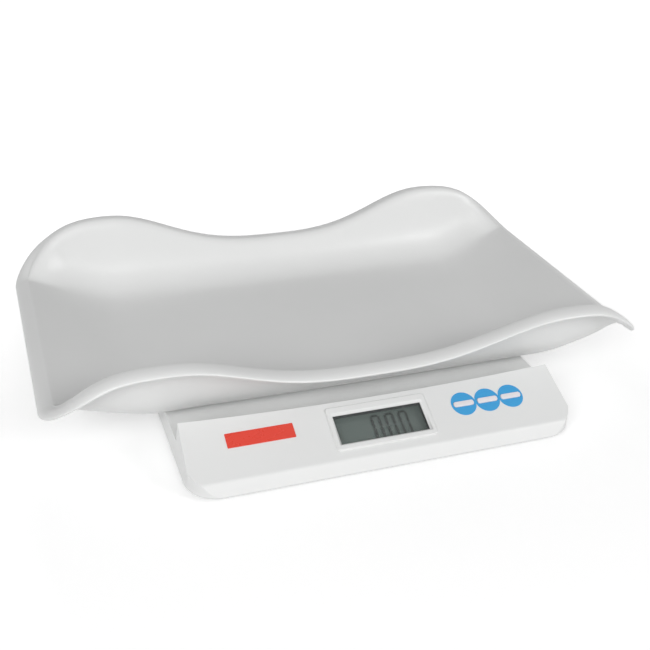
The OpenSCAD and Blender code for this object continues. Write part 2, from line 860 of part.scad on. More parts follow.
// Lead from the battery cap, through the bay's side, to its header's near side
module battery_lead() {
  start = [battery_x + battery_size[0] / 2 + 4.7, bay_y, battery_z + battery_size[2] / 2];
  plug = face_place(battery_header_x - header_size[0] / 2 - 0.1, header_v,
    -board_depth - board_thick - header_size[2] / 2);
  route = [start, start + [4, 0, 0], (start + plug) / 2 - [0, 0, 1.5], plug - [4, 0, 0], plug];
  color("#b02a24") tube(smooth_route(route, 4), 0.9);
}

// Cable from the load cell's fixed end to its header's upper side
module cell_lead() {
  start = [cell_length / 2, tray_y, cell_z + cell_height / 2];
  plug = face_place(cell_header_x, header_v - header_size[1] / 2 - 0.1,
    -board_depth - board_thick - header_size[2] / 2);
  run_x = cell_length / 2 + 21;
  run_z = seam_z + 6;
  route = [start, start + [6, 0, 0], start + [14, -10, 0], [run_x, tray_y - 45, run_z],
    [run_x, plug[1] + 55, run_z], plug + [12, 24, -1], plug + [0, 7, 3], plug];
  color("#d8d8d2") tube(smooth_route(route, 5), 1.5);
}

// Key with its cap, hidden flange and stem
module key(k) {
  color("#f4f5f3")
    on_face(keys_x + k * key_pitch, keys_v) {
      translate([0, 0, -wall - 0.6])
        round_plate(key_length, key_height, 2, wall + 0.6 + key_stand);
      translate([0, 0, -wall - 0.1 - flange_thick])
        round_plate(key_length + 3, key_height + 3, 1, flange_thick);
      translate([0, 0, -stem_depth]) cylinder(h = stem_depth - wall, d = 4);
    }
}

module key_left() key(-1);
module key_middle() key(0);
module key_right() key(1);

// Push switch soldered to the board under a key
module switch_body(k) {
  color("#303336")
    on_face(keys_x + k * key_pitch, keys_v, -board_depth)
      difference() {
        translate([-3, -3, 0]) cube([6, 6, board_depth - switch_top]);
        translate([0, 0, 0.4]) cylinder(h = 20, d = 3.6);
      }
}

module switch_left() switch_body(-1);
module switch_middle() switch_body(0);
module switch_right() switch_body(1);

module plunger(k) {
  color("#c8b27a")
    on_face(keys_x + k * key_pitch, keys_v, -board_depth + 0.5 + key_travel)
      cylinder(h = board_depth - stem_depth - 0.5 - key_travel, d = 3.2);
}

module plunger_left() plunger(-1);
module plunger_middle() plunger(0);
module plunger_right() plunger(1);

// Printed film with the three round key fields
module key_overlay() {
  color("#2f9fd8")
    difference() {
      for (k = [-1 : 1]) {
        on_face(keys_x + k * key_pitch, keys_v) cylinder(h = overlay_thick, r = key_pitch / 2 + 0.1);
      }
      for (k = [-1 : 1]) {
        on_face(keys_x + k * key_pitch, keys_v, -1)
          round_plate(key_length + 2 * key_gap, key_height + 2 * key_gap, 2 + key_gap, 4);
      }
    }
}

// Plain colour plate on the left of the face
module badge() {
  color("#d8392b")
    on_face(badge_x, badge_v) round_plate(badge_w, badge_h, 0.8, 0.5);
}

tray();
tray_pegs();
support_pad_front_left();
support_pad_front_right();
support_pad_back_left();
support_pad_back_right();
load_platform();
load_cell();
cell_shim();
cell_spacer();
cell_screws_fixed();
cell_screws_free();
base_housing();
base_cover();
case_screws();
foot_front_left();
foot_front_right();
foot_back_left();
foot_back_right();
battery_door();
battery();
battery_snap();
battery_lead();
display_bezel();
display_window();
lcd_panel();
lcd_holder();
lcd_contact_strips();
main_board();
board_chip();
cell_header();
battery_header();
board_screws();
cell_lead();
key_left();
key_middle();
key_right();
switch_left();
switch_middle();
switch_right();
plunger_left();
plunger_middle();
plunger_right();
key_overlay();
badge();
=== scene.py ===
import math

import bmesh
import bpy
from mathutils import Matrix, Vector


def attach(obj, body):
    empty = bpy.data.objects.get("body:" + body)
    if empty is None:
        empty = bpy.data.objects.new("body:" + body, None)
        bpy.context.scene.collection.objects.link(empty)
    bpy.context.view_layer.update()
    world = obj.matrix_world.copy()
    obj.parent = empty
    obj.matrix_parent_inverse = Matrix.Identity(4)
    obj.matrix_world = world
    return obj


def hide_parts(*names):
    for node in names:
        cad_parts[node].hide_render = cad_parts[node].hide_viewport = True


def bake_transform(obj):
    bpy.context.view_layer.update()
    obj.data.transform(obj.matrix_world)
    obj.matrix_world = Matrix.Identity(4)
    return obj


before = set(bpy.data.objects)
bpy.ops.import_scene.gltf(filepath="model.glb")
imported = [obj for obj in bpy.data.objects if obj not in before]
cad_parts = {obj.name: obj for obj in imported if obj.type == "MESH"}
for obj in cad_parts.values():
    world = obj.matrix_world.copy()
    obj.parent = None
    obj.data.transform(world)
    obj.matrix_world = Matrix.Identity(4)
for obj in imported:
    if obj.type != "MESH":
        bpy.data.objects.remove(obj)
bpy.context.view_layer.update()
print("frame loaded:", len(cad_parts), "nodes")


# ---- camera ----

shot = {
    "place": (-0.2911, -0.78555, 0.4961),  # metres, in the frame of the scale
    "azimuth": 20.43,  # degrees to the right of straight back
    "elevation": 28.57,  # degrees down
    "roll": 2.29,
    "lens": 54.9,  # millimetres, as is the sensor
    "sensor": 36.0,
    "nearest": 0.02,
}


def addCamera(v):
    az, el, roll = (math.radians(v[k]) for k in ("azimuth", "elevation", "roll"))
    forward = Vector((math.sin(az) * math.cos(el), math.cos(az) * math.cos(el), -math.sin(el)))
    levelRight = Vector((math.cos(az), -math.sin(az), 0))
    levelUp = levelRight.cross(forward)
    right = levelRight * math.cos(roll) + levelUp * math.sin(roll)
    up = levelUp * math.cos(roll) - levelRight * math.sin(roll)
    turn = Matrix((right, up, -forward)).transposed().to_4x4()
    data = bpy.data.cameras.new("camera")
    data.lens = v["lens"]
    data.sensor_width = v["sensor"]
    data.clip_start = v["nearest"]
    camera = bpy.data.objects.new("camera", data)
    bpy.context.scene.collection.objects.link(camera)
    camera.matrix_world = Matrix.Translation(v["place"]) @ turn
    bpy.context.scene.camera = camera


addCamera(shot)
print("camera placed")


# ---- node groups that several materials share ----


def newGroup(name, inputs, outputs):
    group = bpy.data.node_groups.new(name, "ShaderNodeTree")
    for label, kind, value in inputs:
        socket = group.interface.new_socket(label, in_out="INPUT", socket_type=kind)
        socket.default_value = value
    for label, kind in outputs:
        group.interface.new_socket(label, in_out="OUTPUT", socket_type=kind)
    return group, group.nodes.new("NodeGroupInput"), group.nodes.new("NodeGroupOutput")


def noise(tree, scale, detail=2.0, rough=0.5):
    node = tree.nodes.new("ShaderNodeTexNoise")
    node.inputs["Scale"].default_value = scale
    node.inputs["Detail"].default_value = detail
    node.inputs["Roughness"].default_value = rough
    return node


def mathNode(tree, operation, a=None, b=None):
    node = tree.nodes.new("ShaderNodeMath")
    node.operation = operation
    for index, value in enumerate((a, b)):
        if isinstance(value, (int, float)):
            node.inputs[index].default_value = value
        elif value is not None:
            tree.links.new(value, node.inputs[index])
    return node.outputs[0]


def mapRange(tree, value, low, high, fromLow=0.3, fromHigh=0.7):
    node = tree.nodes.new("ShaderNodeMapRange")
    node.inputs["From Min"].default_value = fromLow
    node.inputs["From Max"].default_value = fromHigh
    for label, limit in (("To Min", low), ("To Max", high)):
        if isinstance(limit, (int, float)):
            node.inputs[label].default_value = limit
        else:
            tree.links.new(limit, node.inputs[label])
    tree.links.new(value, node.inputs["Value"])
    return node.outputs["Result"]


# Noises as scale, detail and roughness; ranges as the noise's low and high end
mouldedLook = {"slow": (14.0, 3.0, 0.5), "fine": (1.0, 2.0, 0.6), "marks": (55.0, 4.0, 0.65),
               "shadeMost": 0.35, "shadeRange": (0.35, 0.75), "roughRange": (0.38, 0.62),
               "marksInRough": 0.55, "slowInRough": 0.45, "fineInHeight": 0.5, "slowInHeight": 1.5}


# Moulded plastic: fine spark texture, slow unevenness, faint handling marks
def buildMouldedSurface(v):
    group, taken, given = newGroup(
        "mouldedSurface",
        [
            ("Coordinates", "NodeSocketVector", (0, 0, 0)),
            ("Colour", "NodeSocketColor", (0.8, 0.8, 0.8, 1)),
            ("Shade", "NodeSocketColor", (0.7, 0.7, 0.7, 1)),
            ("Grain", "NodeSocketFloat", 2600.0),
            ("Rough low", "NodeSocketFloat", 0.3),
            ("Rough high", "NodeSocketFloat", 0.4),
        ],
        [("Colour", "NodeSocketColor"), ("Roughness", "NodeSocketFloat"), ("Height", "NodeSocketFloat")],
    )
    link = group.links.new
    slow, fine, marks = (noise(group, *v[kind]) for kind in ("slow", "fine", "marks"))
    for node in (slow, fine, marks):
        link(taken.outputs["Coordinates"], node.inputs["Vector"])
    link(taken.outputs["Grain"], fine.inputs["Scale"])
    mix = group.nodes.new("ShaderNodeMix")
    mix.data_type = "RGBA"
    link(mapRange(group, slow.outputs[0], 0.0, v["shadeMost"], *v["shadeRange"]), mix.inputs["Factor"])
    link(taken.outputs["Colour"], mix.inputs["A"])
    link(taken.outputs["Shade"], mix.inputs["B"])
    link(mix.outputs["Result"], given.inputs["Colour"])
    blended = mathNode(group, "ADD", mathNode(group, "MULTIPLY", marks.outputs[0], v["marksInRough"]),
                       mathNode(group, "MULTIPLY", slow.outputs[0], v["slowInRough"]))
    rough = mapRange(group, blended, taken.outputs["Rough low"], taken.outputs["Rough high"],
                     *v["roughRange"])
    link(rough, given.inputs["Roughness"])
    height = mathNode(group, "ADD", mathNode(group, "MULTIPLY", fine.outputs[0], v["fineInHeight"]),
                      mathNode(group, "MULTIPLY", slow.outputs[0], v["slowInHeight"]))
    link(height, given.inputs["Height"])
    return group


metalLook = {"stretch": (0.05, 1.0, 1.0), "streak": (1.0, 2.0), "cloud": (60.0, 3.0), "rough": (0.28, 0.5)}


# Rolled or drawn metal: fine streaks along X and a cloudy tone
def buildMetalSurface(v):
    group, taken, given = newGroup(
        "metalSurface",
        [
            ("Coordinates", "NodeSocketVector", (0, 0, 0)),
            ("Colour", "NodeSocketColor", (0.6, 0.6, 0.6, 1)),
            ("Shade", "NodeSocketColor", (0.5, 0.5, 0.5, 1)),
            ("Streaks", "NodeSocketFloat", 900.0),
        ],
        [("Colour", "NodeSocketColor"), ("Roughness", "NodeSocketFloat"), ("Height", "NodeSocketFloat")],
    )
    link = group.links.new
    stretch = group.nodes.new("ShaderNodeMapping")
    stretch.inputs["Scale"].default_value = v["stretch"]
    link(taken.outputs["Coordinates"], stretch.inputs["Vector"])
    streak = noise(group, *v["streak"])
    link(stretch.outputs[0], streak.inputs["Vector"])
    link(taken.outputs["Streaks"], streak.inputs["Scale"])
    cloud = noise(group, *v["cloud"])
    link(taken.outputs["Coordinates"], cloud.inputs["Vector"])
    mix = group.nodes.new("ShaderNodeMix")
    mix.data_type = "RGBA"
    link(mapRange(group, cloud.outputs[0], 0.0, 1.0), mix.inputs["Factor"])
    link(taken.outputs["Colour"], mix.inputs["A"])
    link(taken.outputs["Shade"], mix.inputs["B"])
    link(mix.outputs["Result"], given.inputs["Colour"])
    link(mapRange(group, streak.outputs[0], *v["rough"]), given.inputs["Roughness"])
    link(streak.outputs[0], given.inputs["Height"])
    return group


mouldedSurface = buildMouldedSurface(mouldedLook)
metalSurface = buildMetalSurface(metalLook)


def colourOf(value, alpha=1.0):
    return (value[0], value[1], value[2], alpha)


# A material with a Principled shader, fed by one of the shared groups
def makeMaterial(name, group, values, bump, reach, **shader):
    material = bpy.data.materials.new(name)
    material.use_nodes = True
    tree = material.node_tree
    principled = tree.nodes["Principled BSDF"]
    place = tree.nodes.new("ShaderNodeTexCoord")
    surface = tree.nodes.new("ShaderNodeGroup")
    surface.node_tree = group
    tree.links.new(place.outputs["Object"], surface.inputs["Coordinates"])
    for label, value in values.items():
        surface.inputs[label].default_value = colourOf(value) if isinstance(value, tuple) else value
    tree.links.new(surface.outputs["Colour"], principled.inputs["Base Color"])
    tree.links.new(surface.outputs["Roughness"], principled.inputs["Roughness"])
    relief = tree.nodes.new("ShaderNodeBump")
    relief.inputs["Strength"].default_value = bump
    relief.inputs["Distance"].default_value = reach
    tree.links.new(surface.outputs["Height"], relief.inputs["Height"])
    tree.links.new(relief.outputs["Normal"], principled.inputs["Normal"])
    for label, value in shader.items():
        principled.inputs[label.replace("_", " ")].default_value = value
    return material


bumpReach = {"plastic": 0.00012, "metal": 0.00008}


def plastic(name, colour, shade, low, high, grain=2600.0, bump=0.18, **shader):
    values = {"Colour": colour, "Shade": shade, "Grain": grain, "Rough low": low, "Rough high": high}
    return makeMaterial(name, mouldedSurface, values, bump, bumpReach["plastic"], **shader)


def metal(name, colour, shade, streaks=900.0, bump=0.15):
    values = {"Colour": colour, "Shade": shade, "Streaks": streaks}
    return makeMaterial(name, metalSurface, values, bump, bumpReach["metal"], Metallic=1.0)


finishes = {
    "trayWhite": plastic("trayWhite", (0.80, 0.805, 0.80), (0.775, 0.78, 0.775), 0.30, 0.40, 3200.0, 0.03,
                         IOR=1.5, Coat_Weight=0.06, Coat_Roughness=0.2),
    "housingWhite": plastic("housingWhite", (0.81, 0.815, 0.81), (0.785, 0.79, 0.785), 0.34, 0.46, 2800.0,
                            0.06),
    "coverWhite": plastic("coverWhite", (0.74, 0.75, 0.745), (0.70, 0.71, 0.705), 0.45, 0.6, 1800.0, 0.3),
    "keyWhite": plastic("keyWhite", (0.84, 0.80, 0.83), (0.80, 0.76, 0.79), 0.3, 0.42, 3000.0, 0.06),
    "overlayBlue": plastic("overlayBlue", (0.045, 0.36, 0.72), (0.04, 0.33, 0.68), 0.3, 0.4, 4000.0, 0.05),
    "badgeRed": plastic("badgeRed", (0.78, 0.055, 0.03), (0.72, 0.045, 0.025), 0.22, 0.32, 3200.0, 0.04),
    "darkRubber": plastic("darkRubber", (0.045, 0.047, 0.05), (0.03, 0.032, 0.034), 0.65, 0.85, 2200.0, 0.5),
    "holderBlack": plastic("holderBlack", (0.035, 0.036, 0.038), (0.028, 0.028, 0.03), 0.5, 0.65),
    "chipBlack": plastic("chipBlack", (0.03, 0.031, 0.033), (0.022, 0.022, 0.024), 0.45, 0.6),
    "boardGreen": plastic("boardGreen", (0.03, 0.17, 0.07), (0.022, 0.13, 0.055), 0.3, 0.45, 1800.0, 0.2),
    "headerCream": plastic("headerCream", (0.78, 0.74, 0.62), (0.70, 0.66, 0.54), 0.4, 0.55),
    "plungerOchre": plastic("plungerOchre", (0.60, 0.45, 0.18), (0.52, 0.38, 0.14), 0.4, 0.5),
    "leadRed": plastic("leadRed", (0.45, 0.02, 0.015), (0.36, 0.015, 0.012), 0.35, 0.5),
    "leadGrey": plastic("leadGrey", (0.62, 0.62, 0.60), (0.54, 0.54, 0.52), 0.35, 0.5),
    "batteryGrey": plastic("batteryGrey", (0.12, 0.14, 0.17), (0.09, 0.10, 0.13), 0.25, 0.4, 1200.0, 0.1,
                           Metallic=0.35),
    "plateSteel": metal("plateSteel", (0.60, 0.61, 0.63), (0.50, 0.51, 0.53)),
    "screwZinc": metal("screwZinc", (0.72, 0.73, 0.74), (0.60, 0.61, 0.62), 1600.0),
    "cellAluminium": metal("cellAluminium", (0.80, 0.81, 0.82), (0.72, 0.73, 0.74), 1200.0),
    "digitBlack": plastic("digitBlack", (0.006, 0.009, 0.008), (0.004, 0.006, 0.005), 0.25, 0.35),
    "lcdGrey": plastic("lcdGrey", (0.108, 0.145, 0.131), (0.088, 0.12, 0.108), 0.25, 0.35, 900.0, 0.04),
    "lcdClear": plastic("lcdClear", (0.30, 0.34, 0.32), (0.27, 0.31, 0.29), 0.05, 0.09, 900.0, 0.01,
                        Alpha=0.06),
    "windowClear": plastic("windowClear", (0.3, 0.33, 0.32), (0.27, 0.3, 0.29), 0.03, 0.07, 900.0, 0.01,
                           Alpha=0.08),
}
print("materials built:", len(finishes))

nodeFinish = {
    "load_platform": "plateSteel", "cell_shim": "plateSteel", "cell_spacer": "plateSteel",
    "cell_screws_fixed": "screwZinc", "cell_screws_free": "screwZinc", "case_screws": "screwZinc",
    "board_screws": "screwZinc", "load_cell": "cellAluminium", "display_window": "windowClear",
    "lcd_panel": "lcdGrey", "lcd_holder": "holderBlack", "lcd_contact_strips": "darkRubber",
    "main_board": "boardGreen", "board_chip": "chipBlack", "cell_header": "headerCream",
    "battery_header": "headerCream", "battery": "batteryGrey", "battery_snap": "chipBlack",
    "battery_lead": "leadRed", "cell_lead": "leadGrey", "tray": "trayWhite", "tray_pegs": "trayWhite",
    "base_housing": "housingWhite", "base_cover": "coverWhite", "battery_door": "coverWhite",
    "display_bezel": "housingWhite", "key_overlay": "overlayBlue", "badge": "badgeRed",
}
for side in ("left", "middle", "right"):
    nodeFinish["key_" + side] = "keyWhite"
    nodeFinish["switch_" + side] = "chipBlack"
    nodeFinish["plunger_" + side] = "plungerOchre"
for end in ("front", "back"):
    for side in ("left", "right"):
        nodeFinish["foot_%s_%s" % (end, side)] = "darkRubber"
        nodeFinish["support_pad_%s_%s" % (end, side)] = "darkRubber"


def dress(obj, finish):
    material = finishes[finish]
    if obj.material_slots:
        for materialSlot in obj.material_slots:
            materialSlot.material = material
    else:
        obj.data.materials.append(material)


for name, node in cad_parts.items():
    dress(node, nodeFinish[name])
print("nodes dressed:", len(nodeFinish))


# ---- finished versions of the moulded and turned pieces ----

# The console's face: x sideways, -y down the slope, z out of it
console = {"crestY": -0.12675, "crestZ": 0.0415, "slope": 25.0, "front": -0.18625, "back": 0.13975}
faceFrame = Matrix.Translation((0, console["crestY"], console["crestZ"])) @ Matrix.Rotation(
    math.radians(console["slope"]), 4, "X")


def newPiece(bm, name, finish, body, node=None):
    mesh = bpy.data.meshes.new(name)
    bm.to_mesh(mesh)
    bm.free()
    piece = bpy.data.objects.new(name, mesh)
    bpy.context.scene.collection.objects.link(piece)
    dress(piece, finish)
    if body:
        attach(piece, body)
    if node:
        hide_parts(node)
    return piece


# Metres and degrees
merging = {"apart": 0.000004, "quadFold": 35, "quadSkew": 50, "flat": 0.6}


# A copy of a node's mesh with its doubles merged, and its flat areas or its quads made whole again
def mergedCopy(node, quads=False):
    v = merging
    bm = bmesh.new()
    bm.from_mesh(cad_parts[node].data)
    bmesh.ops.remove_doubles(bm, verts=bm.verts, dist=v["apart"])
    if quads:
        bmesh.ops.join_triangles(bm, faces=bm.faces, angle_face_threshold=math.radians(v["quadFold"]),
                                 angle_shape_threshold=math.radians(v["quadSkew"]), cmp_seam=False,
                                 cmp_sharp=False, cmp_uvs=False, cmp_vcols=False, cmp_materials=False)
    else:
        bmesh.ops.dissolve_limit(bm, angle_limit=math.radians(v["flat"]), verts=bm.verts, edges=bm.edges,
                                 use_dissolve_boundaries=False, delimit=set())
    return bm


# The vertices of each separate part of a mesh
def islandsOf(bm):
    left = set(bm.verts)
    islands = []
    while left:
        found, waiting = [], [left.pop()]
        while waiting:
            vert = waiting.pop()
            found.append(vert)
            for edge in vert.link_edges:
                other = edge.other_vert(vert)
                if other in left:
                    left.remove(other)
                    waiting.append(other)
        islands.append(found)
    return islands


# Degrees over which an edge is rounded or stays sharp, and how much large faces weigh in the shading
edgeLook = {"rounded": 28, "sharp": 30, "weight": 80}


# Rounds the convex edges that a test on their middle accepts
def roundEdges(bm, offset, segments, accept=None):
    least = math.radians(edgeLook["rounded"])
    chosen = []
    for edge in bm.edges:
        if len(edge.link_faces) == 2 and edge.is_convex and edge.calc_face_angle() > least:
            if accept is None or accept((edge.verts[0].co + edge.verts[1].co) / 2):
                chosen.append(edge)
    bmesh.ops.bevel(bm, geom=chosen, offset=offset, offset_type="OFFSET", affect="EDGES", segments=segments,
                    profile=0.5, material=-1, clamp_overlap=True, harden_normals=False, loop_slide=True)


# Smooth shading that keeps flat areas flat and sharp edges sharp
def shadeCleanly(piece):
    for face in piece.data.polygons:
        face.use_smooth = True
    piece.data.set_sharp_from_angle(angle=math.radians(edgeLook["sharp"]))
    weighted = piece.modifiers.new("normals", "WEIGHTED_NORMAL")
    weighted.keep_sharp = True
    weighted.weight = edgeLook["weight"]


# A moulded piece: each row of rounds is an offset, a number of segments and a test
def moulding(node, name, finish, body, rounds):
    bm = mergedCopy(node)
    for offset, segments, accept in rounds:
        roundEdges(bm, offset, segments, accept)
    shadeCleanly(newPiece(bm, name, finish, body, node))


# The tray's walls and ends run into its floor in a wide round, and over a tight one into the lip
trayForm = {
    "middle": 0.02125,  # where its long axis lies
    "fillet": 0.038, "roll": 0.006, "endFillet": 0.1, "endRoll": 0.007,
    "tightest": 0.97,  # the largest share of its room that a section's two rounds take
    "wall": 0.003,
    "narrower": 0.0075,  # how much the floor gives to each wall
    "floorRows": 4, "wallRows": 9,  # the node's rows from the long axis out
    "crowding": 1.5,
    "fadeFrom": 0.22, "fadeTo": 0.248, "flatTo": 0.175, "skinEnd": 0.2622,
    "upward": 0.05,  # the least upward normal of the upper skin
    "least": 0.0005,
    "thinAt": (0.260, 0.118), "thinNear": 0.006, "thinFar": 0.018, "thinnest": 0.45,
    "smoothness": 2,
}


# A section that curves up from flat, runs straight and rolls over to flat again
def sectionOf(run, rise, fillet, roll):
    tightest = trayForm["tightest"]
    both = min(fillet + roll, tightest * (run * run + rise * rise) / (2 * rise), tightest * run)
    tilt = math.asin(both / math.hypot(run, both - rise)) - math.atan2(both - rise, run)
    low = both * fillet / (fillet + roll)
    return {"run": run, "rise": rise, "low": low, "top": both - low, "tilt": tilt,
            "flat": (run - both * math.sin(tilt)) / math.cos(tilt)}


# Out and up to the place at a part of a section's length
def alongSection(s, part):
    along = part * ((s["low"] + s["top"]) * s["tilt"] + s["flat"])
    past = along - s["low"] * s["tilt"]
    if past < 0:
        turn = along / s["low"]
        return s["low"] * math.sin(turn), s["low"] * (1 - math.cos(turn))
    if past > s["flat"]:
        turn = s["tilt"] - (past - s["flat"]) / s["top"]
        return s["run"] - s["top"] * math.sin(turn), s["rise"] - s["top"] * (1 - math.cos(turn))
    return (s["low"] * math.sin(s["tilt"]) + past * math.cos(s["tilt"]),
            s["low"] * (1 - math.cos(s["tilt"])) + past * math.sin(s["tilt"]))


# Height of a section at a distance from its flat start
def heightOn(s, out):
    if out <= 0:
        return 0
    if out < s["low"] * math.sin(s["tilt"]):
        return s["low"] - math.sqrt(s["low"] ** 2 - out ** 2)
    left = max(s["run"] - out, 0)
    if left < s["top"] * math.sin(s["tilt"]):
        return s["rise"] - s["top"] + math.sqrt(s["top"] ** 2 - left ** 2)
    return s["low"] * (1 - math.cos(s["tilt"])) + (out - s["low"] * math.sin(s["tilt"])) * math.tan(s["tilt"])


# Moves each column of the skin to its new section; towards the corners the walls' change fades out
def reshapeSkin(bm, v):
    columns = {}
    for vert in bm.verts:
        if abs(vert.co.x) < v["skinEnd"]:
            columns.setdefault(round(vert.co.x, 5), []).append(vert)
    rows = {}
    for place, column in columns.items():
        for side in (-1, 1):
            row = sorted(((vert.co.y - v["middle"]) * side, vert.index) for vert in column)
            row = [bm.verts[index] for reach, index in row if reach > v["least"]]
            if len(row) >= v["floorRows"] + v["wallRows"]:
                rows[place, side] = row[:v["floorRows"] + v["wallRows"]]
    heights = [row[0].co.z for row in rows.values()]
    reach = max(abs(place) for place, side in rows)
    ends = sectionOf(reach - v["flatTo"], max(heights) - min(heights), v["endFillet"], v["endRoll"])
    for (place, side), row in rows.items():
        fade = min(max((v["fadeTo"] - abs(place)) / (v["fadeTo"] - v["fadeFrom"]), 0), 1)
        fade = fade * fade * (3 - 2 * fade)
        bed, ridge = row[v["floorRows"] - 1].co.copy(), row[-1].co.copy()
        level = min(heights) + heightOn(ends, abs(place) - v["flatTo"])
        for vert in row[v["floorRows"]:]:
            if ridge.z - bed.z > v["least"]:
                vert.co.z = level + (vert.co.z - bed.z) * (ridge.z - level) / (ridge.z - bed.z)
        inner = abs(bed.y - v["middle"]) - v["narrower"] * fade
        for k in range(v["floorRows"]):
            row[k].co.y = v["middle"] + side * inner * (k + 1) / v["floorRows"]
            row[k].co.z = level
        for vert in columns[place]:
            if abs(vert.co.y - v["middle"]) < v["least"]:
                vert.co.z = level
        if fade > 0:
            wall = sectionOf(abs(ridge.y - v["middle"]) - inner, ridge.z - level, v["fillet"], v["roll"])
            for k in range(1, v["wallRows"]):
                out, up = alongSection(wall, 1 - (1 - k / v["wallRows"]) ** v["crowding"])
                made = Vector((place, v["middle"] + side * (inner + out), level + up))
                vert = row[v["floorRows"] - 1 + k]
                vert.co = vert.co.lerp(made, fade)


# The upper skin of the node's mesh, reshaped and thickened, less so where a corner folds tightly;
# the subdivision rounds its edge
def addTray(v):
    bm = mergedCopy("tray", quads=True)
    bm.normal_update()
    bmesh.ops.delete(bm, geom=[face for face in bm.faces if face.normal.z < v["upward"]], context="FACES")
    islands = sorted(islandsOf(bm), key=len)
    bmesh.ops.delete(bm, geom=[vert for island in islands[:-1] for vert in island], context="VERTS")
    bm.verts.ensure_lookup_table()
    bm.verts.index_update()
    reshapeSkin(bm, v)
    piece = newPiece(bm, "trayShell", "trayWhite", "tray_set", "tray")
    for face in piece.data.polygons:
        face.use_smooth = True
    thick = piece.modifiers.new("thickness", "SOLIDIFY")
    thick.thickness = v["wall"]
    thick.offset = -1
    thinner = piece.vertex_groups.new(name="thinner")
    for vert in piece.data.vertices:
        away = math.hypot(abs(vert.co.x) - v["thinAt"][0], abs(vert.co.y - v["middle"]) - v["thinAt"][1])
        share = min(max((away - v["thinNear"]) / (v["thinFar"] - v["thinNear"]), 0), 1)
        thinner.add([vert.index], share, "REPLACE")
    thick.vertex_group = "thinner"
    thick.thickness_vertex_group = v["thinnest"]
    smooth = piece.modifiers.new("smooth", "SUBSURF")
    smooth.levels = smooth.render_levels = v["smoothness"]


addTray(trayForm)
print("tray finished")

baseRound = {"outer": 0.0017, "segments": 4, "rim": 0.0004, "side": 0.160, "backBand": 0.008,
             "frontBand": 0.012, "crestBand": 0.003, "lowest": 0.0075}


# Edges on the outside of the housing: its sides, back, nose and crest
def onOutside(p):
    v = baseRound
    outside = abs(p.x) > v["side"] or p.y > console["back"] - v["backBand"]
    outside = outside or p.y < console["front"] + v["frontBand"] or p.z > console["crestZ"] - v["crestBand"]
    return outside and p.z > v["lowest"]


def onLowerRim(p):
    return p.z < baseRound["lowest"]


moulding("base_housing", "baseShell", "housingWhite", "base",
         [(baseRound["outer"], baseRound["segments"], onOutside), (baseRound["rim"], 2, onLowerRim)])

bezelRound = {"outer": 0.0013, "segments": 4, "inner": 0.0003, "centre": (-0.002, -0.0302),
              "halfWidth": 0.0435, "halfHeight": 0.0172, "standing": 0.0008}


def onBezelOutside(p):
    v = bezelRound
    q = faceFrame.inverted() @ p
    away = abs(q.x - v["centre"][0]) > v["halfWidth"] or abs(q.y - v["centre"][1]) > v["halfHeight"]
    return away and q.z > v["standing"]


def onBezelInside(p):
    return not onBezelOutside(p) and (faceFrame.inverted() @ p).z > bezelRound["standing"]


moulding("display_bezel", "bezelFrame", "housingWhite", "base",
         [(bezelRound["outer"], bezelRound["segments"], onBezelOutside),
          (bezelRound["inner"], 2, onBezelInside)])
print("housing finished")

# Per node: the piece's name, finish, body and slot, then its edges' round and that round's segments
smallRounds = {
    "base_cover": ("coverShell", "coverWhite", "base", "cover_white", 0.0004, 2),
    "battery_door": ("batteryLid", "coverWhite", "battery_lid", "cover_white", 0.0003, 2),
    "badge": ("colourPlate", "badgeRed", "base", "badge_red", 0.0002, 2),
    "load_platform": ("carrierPlate", "plateSteel", "platform", "plate_steel", 0.00025, 2),
}
repeatedRounds = {"key": (0.0006, 3), "foot": (0.0008, 3), "pad": (0.0003, 2)}
for side in ("left", "middle", "right"):
    smallRounds["key_" + side] = ("keyCap" + side.capitalize(), "keyWhite", side + "_key", "key_white",
                                  *repeatedRounds["key"])
for end in ("front", "back"):
    for side in ("left", "right"):
        tail = end.capitalize() + side.capitalize()
        smallRounds["foot_%s_%s" % (end, side)] = ("rubberFoot" + tail, "darkRubber", "base", "rubber_dark",
                                                   *repeatedRounds["foot"])
        smallRounds["support_pad_%s_%s" % (end, side)] = ("supportPad" + tail, "darkRubber", "platform",
                                                          "rubber_dark", *repeatedRounds["pad"])
for node, (name, finish, body, slotName, offset, segments) in smallRounds.items():
    moulding(node, name, finish, body, [(offset, segments, None)])
print("small pieces finished:", len(smallRounds))


# ---- load cell, between the base and the platform ----

cellLook = {"edge": 0.0004, "segments": 2, "fixed": (0.036, 0.02125, 0.012),
            "free": (-0.036, 0.02125, 0.012)}


def addLoadCell(v):
    bm = mergedCopy("load_cell")
    roundEdges(bm, v["edge"], v["segments"])
    piece = newPiece(bm, "cellBar", "cellAluminium", None, "load_cell")
    shadeCleanly(piece)
    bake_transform(piece)


addLoadCell(cellLook)


# ---- screws with crossed recesses ----

